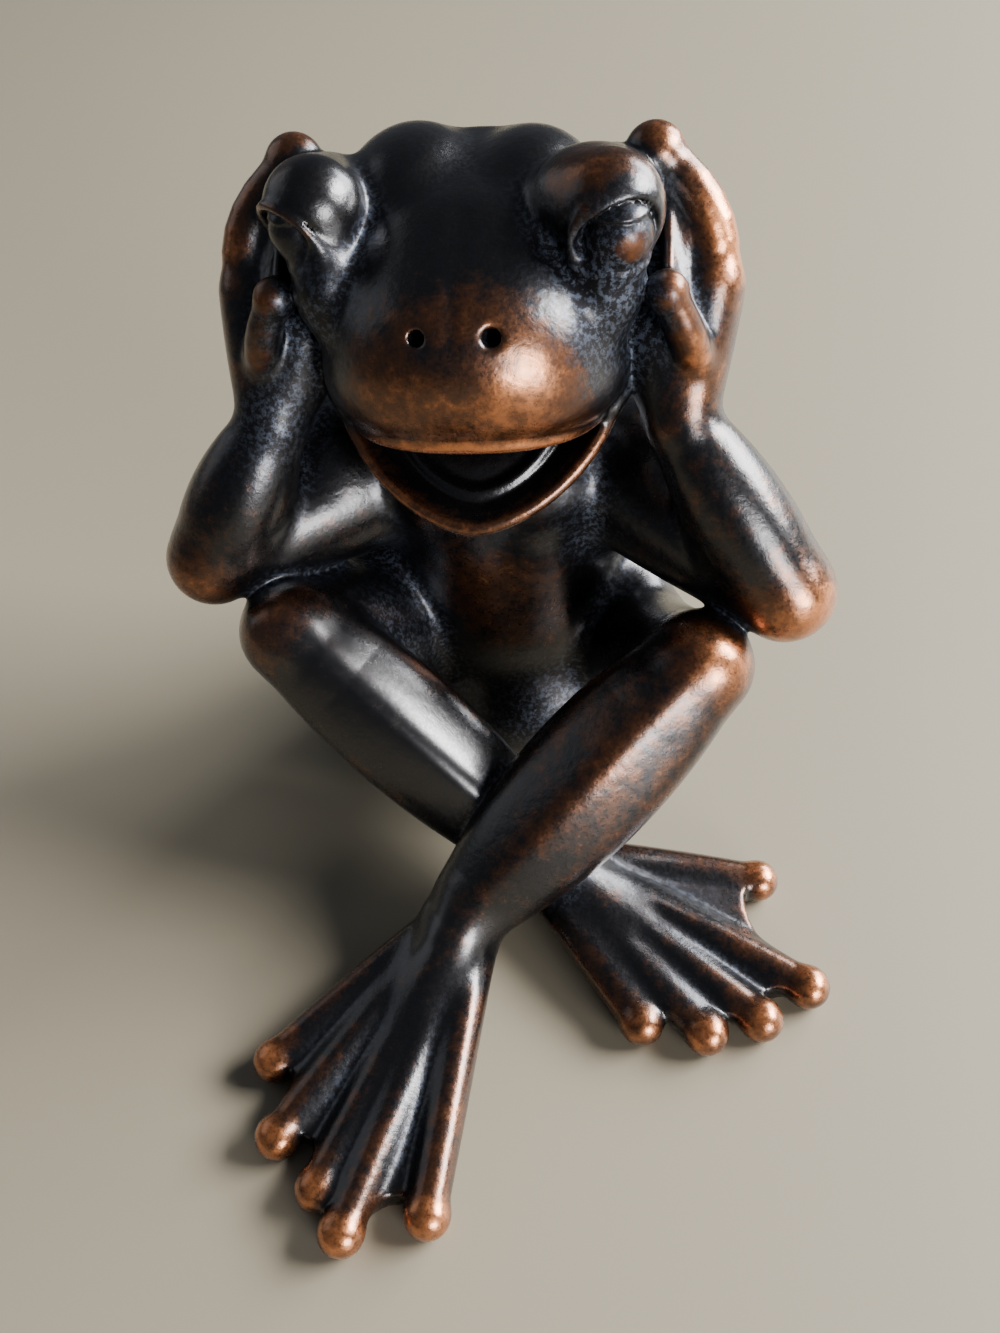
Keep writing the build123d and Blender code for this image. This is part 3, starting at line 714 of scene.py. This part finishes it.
def make_foot(side):
    ankle = ANKLE[side]
    ground = vec(ankle[0], ankle[1], 0.0)
    toes = list(toe_ways(side))
    tips = [ground + UPWARD * TOE_TIP_HEIGHT + way * reach for way, reach in toes]
    low = np.min(tips + [ankle], 0) - 6
    high = np.max(tips + [ankle], 0) + 8
    low[2] = -2
    clay = Clay(low, high)
    # Outline of the web: behind the ankle, then scalloped from toe to toe
    middle = toes[2][0]
    root_step = np.cross(UPWARD, middle) * SIDES[side] * TOE_ROOT_STEP
    roots = [root_step * (n - 2) for n in range(len(toes))]
    edge = [ground + way * reach * WEB_REACH_SHARE for way, reach in toes]
    shares = np.linspace(0.0, 1.0, 9)
    outline = [ground + roots[0] - middle * HEEL_BACK]
    for one, two in zip(edge, edge[1:]):
        depth = np.linalg.norm(two - one) * WEB_SCALLOP_SHARE
        inward = unit((one + two) / 2 - ground) * depth
        for t in shares if two is edge[-1] else shares[:-1]:
            outline.append(one * (1 - t) + two * t - inward * 4 * t * (1 - t))
    outline.append(ground + roots[-1] - middle * HEEL_BACK)

    def height(x, y):
        reach = np.sqrt((x - ground[0]) ** 2 + (y - ground[1]) ** 2)
        return WEB_HEIGHT - WEB_FALL * reach / WEB_FALL_REACH

    clay.join(plate(np.array(outline)[:, :2], height), blend=0.0)
    for tip, start, (way, reach) in zip(tips, roots, toes):
        root = ground + start + UPWARD * TOE_ROOT_HEIGHT
        bend = ground + start * 0.5 + way * reach * TOE_BEND_SHARE + UPWARD * TOE_BEND_HEIGHT
        clay.join(bent((root, bend, tip), TOE_ROOT_RADIUS, TOE_END_RADIUS), blend=1.8)
        clay.join(ball(tip, TOE_TIP_RADIUS), blend=0.8)
    shin = unit(ankle - KNEE[side])
    instep = limb(ankle - shin * 4.0, ground + middle * 12.0 + vec(0, 0, 4.2), 4.8, 3.0)
    clay.join(instep, blend=3.0)
    heel = egg(ground - middle * 0.5 + vec(0, 0, 3.4), (5.0, 5.0, 4.6))
    clay.join(heel, blend=2.0)
    clay.keep(half_space((0, 0, 0), (0, 0, -1)), blend=0.3)
    return clay


CLAY = {"torso": make_torso(), "head": make_head(), "lower_jaw": make_jaw()}
for side in SIDES:
    CLAY[side + "_arm"] = make_arm(side)
    CLAY[side + "_leg"] = make_leg(side)
    CLAY[side + "_foot"] = make_foot(side)

# Whole figure: castings run softly into the ones they grow from, and only touch the rest
TOUCH_BLEND = 0.5
FLOOR_BLEND = 0.3
GROWS = [
    ("torso", "left_leg", 3.5),
    ("torso", "right_leg", 3.5),
    ("torso", "left_arm", 3.0),
    ("torso", "right_arm", 3.0),
    ("torso", "lower_jaw", 2.5),
    ("lower_jaw", "head", 1.2),
    ("torso", "head", 2.0),
    ("left_leg", "left_foot", 2.0),
    ("right_leg", "right_foot", 2.0),
    ("left_arm", "left_leg", 1.5),
    ("right_arm", "right_leg", 1.5),
]
whole = np.full(SHAPE, FAR, np.float32)
for clay in CLAY.values():
    spot = tuple(slice(clay.first[k], clay.last[k]) for k in range(3))
    whole[spot] = soft_min(whole[spot], clay.d, TOUCH_BLEND)
for one, two, blend in GROWS:
    first = np.maximum(CLAY[one].first, CLAY[two].first)
    last = np.minimum(CLAY[one].last, CLAY[two].last)
    spot = tuple(slice(first[k], last[k]) for k in range(3))
    grown = soft_min(part_of(CLAY[one], first, last), part_of(CLAY[two], first, last), blend)
    whole[spot] = np.minimum(whole[spot], grown)
under_floor = -(LOW[2] + VOXEL * np.arange(SHAPE[2])).astype(np.float32)
whole = soft_max(whole, under_floor[None, None, :], FLOOR_BLEND)


def net(field):
    """Vertices, in voxels, and quads of the field's zero surface."""
    solid = field < 0
    cells = np.array(field.shape) - 1
    spots, points = [], []
    for axis in range(3):
        near = [slice(None)] * 3
        far = [slice(None)] * 3
        near[axis], far[axis] = slice(None, -1), slice(1, None)
        edge = list(np.nonzero(solid[tuple(near)] != solid[tuple(far)]))
        one = field[tuple(edge)]
        point = np.stack(edge, 1).astype(np.float32)
        ahead = [q + (n == axis) for n, q in enumerate(edge)]
        point[:, axis] += one / (one - field[tuple(ahead)])
        a, b = [n for n in range(3) if n != axis]
        around = []
        for da, db in ((1, 1), (0, 1), (0, 0), (1, 0)):
            c = list(edge)
            c[a], c[b] = c[a] - da, c[b] - db
            around.append((c[0] * cells[1] + c[1]) * cells[2] + c[2])
        around = np.stack(around, 1)
        flip = (one < 0) ^ (axis == 1)
        spots.append(np.where(flip[:, None], around, around[:, ::-1]))
        points.append(point)
    spots, points = np.concatenate(spots), np.repeat(np.concatenate(points), 4, axis=0)
    used, index = np.unique(spots.ravel(), return_inverse=True)
    count = np.bincount(index)
    vertices = np.stack([np.bincount(index, points[:, n]) / count for n in range(3)], 1)
    return vertices, index.reshape(-1, 4)


def sample(field, points):
    """Trilinear values of a grid at points given in voxels."""
    base = np.clip(np.floor(points).astype(int), 0, np.array(field.shape) - 2)
    x, y, z = base.T
    f = (points - base).astype(np.float32)
    out = 0
    for corner in np.ndindex(2, 2, 2):
        weight = np.prod([f[:, n] if corner[n] else 1 - f[:, n] for n in range(3)], 0)
        out = out + weight * field[x + corner[0], y + corner[1], z + corner[2]]
    return out


def slope(field, points, half_step=0.7):
    """Gradient of a grid at points given in voxels."""
    out = np.empty((len(points), 3), np.float32)
    for n in range(3):
        step = np.zeros(3)
        step[n] = half_step
        out[:, n] = (sample(field, points + step) - sample(field, points - step)) / (2 * half_step)
    return out


def blurred(field, radius):
    """The grid after two box blurs along each axis, near enough to a Gaussian."""
    n = max(1, int(round(radius / VOXEL)))
    for axis in range(3):
        for _ in range(2):
            pad = [(0, 0)] * 3
            pad[axis] = (n + 1, n)
            total = np.cumsum(np.pad(field, pad, mode="edge"), axis=axis, dtype=np.float32)
            low = [slice(None)] * 3
            high = [slice(None)] * 3
            low[axis], high[axis] = slice(None, -(2 * n + 1)), slice(2 * n + 1, None)
            field = (total[tuple(high)] - total[tuple(low)]) / np.float32(2 * n + 1)
    return field


# Surface: the net's vertices are drawn onto the zero surface in a few small steps
SETTLING_STEPS = 3
LONGEST_STEP = 0.6
LEAST_GRADE = 0.02 * VOXEL**2
vertices, quads = net(whole)
for _ in range(SETTLING_STEPS):
    grade = slope(whole, vertices)
    size = np.maximum((grade**2).sum(1), LEAST_GRADE)
    step = np.clip(sample(whole, vertices) / size, -LONGEST_STEP, LONGEST_STEP)
    vertices = vertices - step[:, None] * grade
normals = slope(whole, vertices)
normals /= np.linalg.norm(normals, axis=1, keepdims=True) + 1e-9
places = LOW + VOXEL * vertices

# How much clay lies round each vertex, near by and further off: below a half it stands
# out, and above a half it lies in a hollow
FINE_RADIUS = 0.7
BROAD_RADIUS = 2.4
fill = np.clip(0.5 - whole / (2.0 * VOXEL), 0.0, 1.0).astype(np.float32)
fine = sample(blurred(fill, FINE_RADIUS), vertices)
broad = sample(blurred(fill, BROAD_RADIUS), vertices)

# Which casting each face belongs to
centres = vertices[quads].mean(1)
nearest = np.full(len(quads), 1e9, np.float32)
owner = np.zeros(len(quads), int)
names = list(CLAY)
for n, name in enumerate(names):
    clay = CLAY[name]
    local = centres - clay.first
    within = np.all((local >= 0) & (local < np.array(clay.d.shape) - 1), 1)
    value = np.full(len(quads), 1e6, np.float32)
    value[within] = sample(clay.d, local[within])
    better = value < nearest
    nearest[better] = value[better]
    owner[better] = n


class Finish:
    """A material, with short names for the shader nodes that it needs."""

    def __init__(self, name):
        self.material = bpy.data.materials.new(name)
        self.material.use_nodes = True
        self.nodes = self.material.node_tree.nodes
        self.links = self.material.node_tree.links
        self.shader = self.nodes["Principled BSDF"]

    def feed(self, socket, value):
        """Give a socket a number, a colour or what another node puts out."""
        if isinstance(value, float):
            socket.default_value = value
        elif isinstance(value, tuple):
            socket.default_value = (*value, 1.0)
        else:
            self.links.new(value, socket)

    def surface(self, values):
        for name, value in values.items():
            self.feed(self.shader.inputs[name], value)

    def number(self, operation, a, b, clamp=False):
        made = self.nodes.new("ShaderNodeMath")
        made.operation = operation
        made.use_clamp = clamp
        self.feed(made.inputs[0], a)
        self.feed(made.inputs[1], b)
        return made.outputs[0]

    def scaled(self, value, amount):
        return self.number("MULTIPLY", value, amount)

    def swing(self, noise, amount):
        """The noise about zero, times an amount."""
        return self.scaled(self.number("SUBTRACT", noise, 0.5), amount)

    def ramp(self, value, low, high):
        """A smooth rise from 0 at low to 1 at high."""
        made = self.nodes.new("ShaderNodeMapRange")
        made.interpolation_type = "SMOOTHSTEP"
        self.feed(made.inputs["Value"], value)
        self.feed(made.inputs["From Min"], low)
        self.feed(made.inputs["From Max"], high)
        return made.outputs["Result"]

    def mix(self, amount, a, b):
        made = self.nodes.new("ShaderNodeMix")
        made.data_type = "RGBA"
        self.feed(made.inputs["Factor"], amount)
        self.feed(made.inputs["A"], a)
        self.feed(made.inputs["B"], b)
        return made.outputs["Result"]

    def noise(self, scale, detail, roughness=0.6):
        """Noise with that many waves to the metre."""
        made = self.nodes.new("ShaderNodeTexNoise")
        place = self.nodes.new("ShaderNodeTexCoord")
        self.feed(made.inputs["Vector"], place.outputs["Object"])
        self.feed(made.inputs["Scale"], scale)
        self.feed(made.inputs["Detail"], detail)
        self.feed(made.inputs["Roughness"], roughness)
        return made.outputs["Fac"]

    def stored(self, name):
        """What the sculpt stores at its vertices under that name."""
        made = self.nodes.new("ShaderNodeAttribute")
        made.attribute_name = name
        return made.outputs["Fac"]

    def bump(self, height, strength, distance):
        made = self.nodes.new("ShaderNodeBump")
        self.feed(made.inputs["Height"], height)
        self.feed(made.inputs["Strength"], strength)
        self.feed(made.inputs["Distance"], distance)
        return made.outputs["Normal"]


PATINA = (0.010, 0.010, 0.013)
BLUISH_SPECKS_AND_SHEEN = (0.070, 0.085, 0.120)
BROWN = (0.095, 0.034, 0.012)
COPPER = (0.56, 0.20, 0.068)
STEEL = (0.55, 0.55, 0.56)


def bronze():
    """Near-black brown patina, rubbed through to copper where the figure stands out, with painted
    highlight, sheen and shade carried in its stored values.
    """
    finish = Finish("bronze_patina")
    rub_and_painted_light, cool, polish = finish.stored("rub_and_painted_light"), finish.stored("hollow"), finish.stored("polish")
    cloud = finish.noise(110.0, 4.0)
    mottle = finish.noise(550.0, 4.0, roughness=0.7)
    grain = finish.noise(2200.0, 2.0)
    # Colour: patina with bluish specks in the hollows, which at a few dull dabs are a painted sheen,
    # then brown, then copper
    worn = finish.number("ADD", rub_and_painted_light, finish.swing(cloud, 0.55))
    worn = finish.number("ADD", worn, finish.swing(mottle, 0.8))
    speck = finish.ramp(finish.noise(1400.0, 3.0, roughness=0.75), 0.45, 0.62)
    specks_and_sheen = finish.number("MULTIPLY", cool, speck, clamp=True)
    colour = finish.mix(specks_and_sheen, PATINA, BLUISH_SPECKS_AND_SHEEN)
    colour = finish.mix(finish.ramp(worn, 0.10, 0.5), colour, BROWN)
    colour = finish.mix(finish.ramp(worn, 0.42, 0.95), colour, COPPER)
    roughness = finish.number("ADD", 0.29, finish.swing(grain, 0.25))
    roughness = finish.number("ADD", roughness, finish.scaled(cool, 0.3))
    # Wax coat, thin in the hollows and at the painted shade, and full and even where it is polished
    coat = finish.number("SUBTRACT", 0.6, finish.scaled(cool, 0.5))
    coat = finish.number("ADD", coat, finish.scaled(polish, 0.4), clamp=True)
    coat_roughness = finish.number("ADD", 0.17, finish.scaled(mottle, 0.16))
    unevenness = finish.number("SUBTRACT", 0.2, finish.scaled(polish, 0.16))
    normal = finish.bump(finish.noise(700.0, 5.0), unevenness, 0.0004)
    finish.surface(
        {
            "Base Color": colour,
            "Metallic": 0.9,
            "Roughness": roughness,
            "Normal": normal,
            "Coat Weight": coat,
            "Coat Roughness": coat_roughness,
            "Coat IOR": 1.6,
            "Coat Normal": normal,
        }
    )
    return finish.material


def drawn_steel():
    """Plain wire, with the fine mottle that drawing leaves."""
    finish = Finish("drawn_steel")
    mottle = finish.noise(3000.0, 3.0, roughness=0.5)
    roughness = finish.number("ADD", 0.2, finish.scaled(mottle, 0.25))
    finish.surface({"Base Color": STEEL, "Metallic": 1.0, "Roughness": roughness})
    return finish.material


def shin_spot(side, share, out):
    return KNEE[side] * (1 - share) + ANKLE[side] * share + out


# Where hands and cloth have rubbed the patina, or never reach it, and where copper is painted brighter
# as a highlight on the lit side: place, spread and strength
RUBBED_AND_PAINTED_LIGHT = [
    # Muzzle, its tip and the bridge above the nostrils. The first dab, on the frog's left of the
    # muzzle toward the light, is partly rubbed copper and partly a painted highlight
    ((8, -33, 76.5), 6.0, 0.5),
    ((-5, -33.5, 73.5), 6.0, 0.28),
    ((0, -33, 79), 9.0, 0.2),
    ((-12, -29, 79), 6.0, 0.15),
    ((-0.5, -36, 80), 3.5, -0.3),
    ((0, -30, 86), 4.0, 0.15),
    # Brows, crown and forehead
    ((13.5, -20, 95.5), 5.0, 0.5),
    ((-21, -16, 94.5), 3.5, 0.35),
    ((-13.5, -20, 93), 4.5, -0.3),
    ((0, -9, 93), 12.0, -0.3),
    ((0, -27, 88), 7.0, -0.1),
    # Breast, belly, inside of the mouth, nape
    ((0, -18, 46), 9.0, 0.22),
    ((0, -21, 32), 8.0, 0.25),
    ((0, -25, 64), 8.0, -0.4),
    ((0, 4, 68), 9.0, -0.4),
    # Eyes, and the left one's lid and front
    (EYEBALL["left"], 5.0, -0.35),
    (EYEBALL["right"], 5.0, -0.35),
    (EYE["left"] + LOOK["left"] * 4.5 + vec(0, 0, 2), 2.5, -0.4),
    (EYEBALL["left"] + LOOK["left"] * 3.5, 2.3, 0.8),
    # Crest of the left shin
    (shin_spot("left", 0.25, vec(0, -5, 5)), 6.0, 0.2),
    (shin_spot("left", 0.55, vec(0, -5, 5)), 6.0, 0.2),
]
# Edge of the upper lip
for turn in np.radians((-60, -40, -20, 0, 20, 40, 60)):
    lip_edge = vec(LIP_HALF_WIDTH * math.sin(turn), -LIP_HALF_DEPTH * math.cos(turn), MOUTH + 0.2)
    RUBBED_AND_PAINTED_LIGHT.append((MUZZLE_MIDDLE + lip_edge, 2.2, 0.28))
# Right shin, which has kept its patina
for share in (0.15, 0.35, 0.55, 0.75):
    RUBBED_AND_PAINTED_LIGHT.append((shin_spot("right", share, vec(2, -5, 5)), 4.5, -0.18))
for side, q in SIDES.items():
    # The frog's left side, toward the light, is painted more copper: partly wear, and partly a painted
    # highlight on the lit side
    wear_and_lit_side = 1.0 if side == "left" else 0.55
    nostril, cheek_fold = (q * 4, -34.3, 83.4), (q * 19, -20, 74)
    RUBBED_AND_PAINTED_LIGHT.append((nostril, 1.3, -0.9))
    RUBBED_AND_PAINTED_LIGHT.append((cheek_fold, 6.0, -0.3))
    RUBBED_AND_PAINTED_LIGHT.append((KNEE[side] + vec(q * 3, -3, 4), 5.0, 0.4 * wear_and_lit_side))
    RUBBED_AND_PAINTED_LIGHT.append((ELBOW[side] + vec(q * 3, -3, -1), 5.0, 0.6 * wear_and_lit_side))
    for points, _, _, tip_radius in fingers(side):
        RUBBED_AND_PAINTED_LIGHT.append((points[2], tip_radius, 0.45 * wear_and_lit_side))
        RUBBED_AND_PAINTED_LIGHT.append((points[1] * 0.6 + points[0] * 0.4, 4.0, 0.6 * wear_and_lit_side))
    ground = ANKLE[side] * (1, 1, 0)
    for way, reach in toe_ways(side):
        RUBBED_AND_PAINTED_LIGHT.append((ground + way * reach + vec(0, 0, 3.2), 2.6, 0.28))
        RUBBED_AND_PAINTED_LIGHT.append((ground + way * reach * 0.75 + vec(0, 0, 6.0), 3.0, 0.05))

# Where the patina is rough and bluish, besides the hollows that the shape gives, and where painted
# sheen and painted shade go: place and spread
DULL_AND_PAINTED_LIGHT = [
    # Cheeks, corner of the left eye, nostrils
    ((18, -24, 80), 6.0),
    ((-18, -24, 80), 5.0),
    ((16, -25, 88), 3.5),
    ((4, -35.5, 84), 1.5),
    ((-4, -35.5, 84), 1.5),
    # Inside of the right thigh: a painted sheen, bluish specks for the lit edge of the thigh
    ((-15.5, -24, 35), 3.5),
    ((-12, -24, 27), 3.5),
    ((-9, -25, 19), 3.5),
    # Left breast, a painted sheen; lap, right shoulder and right wrist, painted shade: rough, thinly
    # coated and kept dark
    ((12.5, -16, 46), 5.0),
    ((5, -22, 13), 6.0),
    ((-23, -12, 59.5), 3.5),
    ((-25, -23, 66), 4.5),
]

# Where the wax has kept its full gloss: the right shin and the left instep
POLISHED = [(ANKLE["left"] + vec(-1, -3, 4), 5.0)]
for share in (0.04, 0.14, 0.24, 0.36, 0.48, 0.60):
    POLISHED.append((shin_spot("right", share, vec(2, -5, 5)), 5.2))


def dab(spot, spread):
    """A soft round dab of paint about a spot, 1 at its middle."""
    return np.exp(-((places - spot) ** 2).sum(1) / (2.0 * spread**2))


# Paint at each vertex: the shape's own hollows and edges, and then the dabs, some of which are painted
# highlight, sheen and shade
HOLLOW_GAIN = 4.0
DULL_STRENGTH = 0.8
FINE_GAIN = 1.6
BROAD_GAIN = 1.5
LEAST_RUB = -0.2
MOST_RUB = 0.35
SHELTER_AND_PAINTED_SHADE = 0.4
hollow = np.clip((broad - 0.5) * HOLLOW_GAIN, 0.0, 1.0)
# The dull dabs add bluish specks: patina at the cheeks, eye and nostrils, painted sheen at the right
# thigh and left breast, painted shade elsewhere
for spot, spread in DULL_AND_PAINTED_LIGHT:
    hollow += DULL_STRENGTH * dab(spot, spread)
rub_and_painted_light = np.clip((0.5 - fine) * FINE_GAIN, LEAST_RUB, MOST_RUB)
rub_and_painted_light += np.clip((0.5 - broad) * BROAD_GAIN, 0.0, MOST_RUB)
for spot, spread, strength in RUBBED_AND_PAINTED_LIGHT:
    rub_and_painted_light += strength * dab(spot, spread)
# Hollows and dull dabs hold back the copper: patina in the real hollows, painted shade at the lap,
# right shoulder and right wrist
rub_and_painted_light -= SHELTER_AND_PAINTED_SHADE * hollow
polish = np.zeros(len(places))
for spot, spread in POLISHED:
    polish = np.maximum(polish, dab(spot, spread))

patina = bronze()
for n, name in enumerate(names):
    used, compact = np.unique(quads[owner == n], return_inverse=True)
    mesh = bpy.data.meshes.new(name + "_sculpt")
    mesh.from_pydata((places[used] * MM).tolist(), [], compact.reshape(-1, 4).tolist())
    for key, values in (("rub_and_painted_light", rub_and_painted_light), ("hollow", hollow), ("polish", polish)):
        layer = mesh.attributes.new(key, "FLOAT", "POINT")
        layer.data.foreach_set("value", values[used].astype(np.float32))
    mesh.shade_smooth()
    mesh.normals_split_custom_set_from_vertices(normals[used].tolist())
    mesh.materials.append(patina)
    piece = bpy.data.objects.new(name + "_sculpt", mesh)
    bpy.context.scene.collection.objects.link(piece)
    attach(piece, "root")
    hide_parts(name)

# Dowels, which lie hidden in the castings
wire = drawn_steel()
for name in ("neck_dowel", "shoulder_dowels", "hip_dowels", "ankle_dowels"):
    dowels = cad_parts[name].data
    dowels.materials.clear()
    dowels.materials.append(wire)

# Plain pale floor, sized in metres
FLOOR_HALF = 3.0
FLOOR_COLOUR = (0.19, 0.168, 0.124)
floor_paint = Finish("floor_paint")
floor_paint.surface({"Base Color": FLOOR_COLOUR, "Roughness": 0.55})
corners = [(x * FLOOR_HALF, y * FLOOR_HALF, 0) for x, y in ((-1, -1), (1, -1), (1, 1), (-1, 1))]
sheet = bpy.data.meshes.new("floor")
sheet.from_pydata(corners, [], [(0, 1, 2, 3)])
sheet.materials.append(floor_paint.material)
floor = bpy.data.objects.new("floor", sheet)
bpy.context.scene.collection.objects.link(floor)

# Soft light: three windows on the right, from the front to the back, a weak fill on the left,
# and a dim room
ROOM_COLOUR = (0.75, 0.8, 0.9, 1.0)
ROOM_STRENGTH = 0.14
world = bpy.data.worlds.new("room")
world.use_nodes = True
room = world.node_tree.nodes["Background"]
room.inputs["Color"].default_value = ROOM_COLOUR
room.inputs["Strength"].default_value = ROOM_STRENGTH
bpy.context.scene.world = world


def window_light(name, place, target, size, watts, colour):
    """A lit rectangle at a place, in metres, that faces its target."""
    lamp = bpy.data.lights.new(name, "AREA")
    lamp.shape = "RECTANGLE"
    lamp.size, lamp.size_y = size
    lamp.energy = watts
    lamp.color = colour
    made = bpy.data.objects.new(name, lamp)
    made.location = place
    made.rotation_mode = "QUATERNION"
    made.rotation_quaternion = (Vector(target) - Vector(place)).to_track_quat("-Z", "Y")
    bpy.context.scene.collection.objects.link(made)


FIGURE_MIDDLE = (0, -0.03, 0.04)
FIGURE_UPPER = (0, -0.03, 0.05)
WARM_DAYLIGHT = (1.0, 0.98, 0.95)
DAYLIGHT = (1.0, 0.98, 0.96)
SKYLIGHT = (0.96, 0.98, 1.0)
SHADE = (0.92, 0.96, 1.0)
window_light("window_right", (0.94, 0.15, 0.62), FIGURE_UPPER, (0.64, 0.48), 60.0, WARM_DAYLIGHT)
window_light("window_front", (0.80, -1.01, 0.27), FIGURE_MIDDLE, (0.52, 0.46), 28.0, DAYLIGHT)
window_light("window_back", (0.90, 0.79, 0.56), FIGURE_MIDDLE, (0.68, 0.6), 32.0, SKYLIGHT)
window_light("fill_left", (-1.0, 0.3, 0.6), FIGURE_MIDDLE, (1.0, 0.8), 1.5, SHADE)
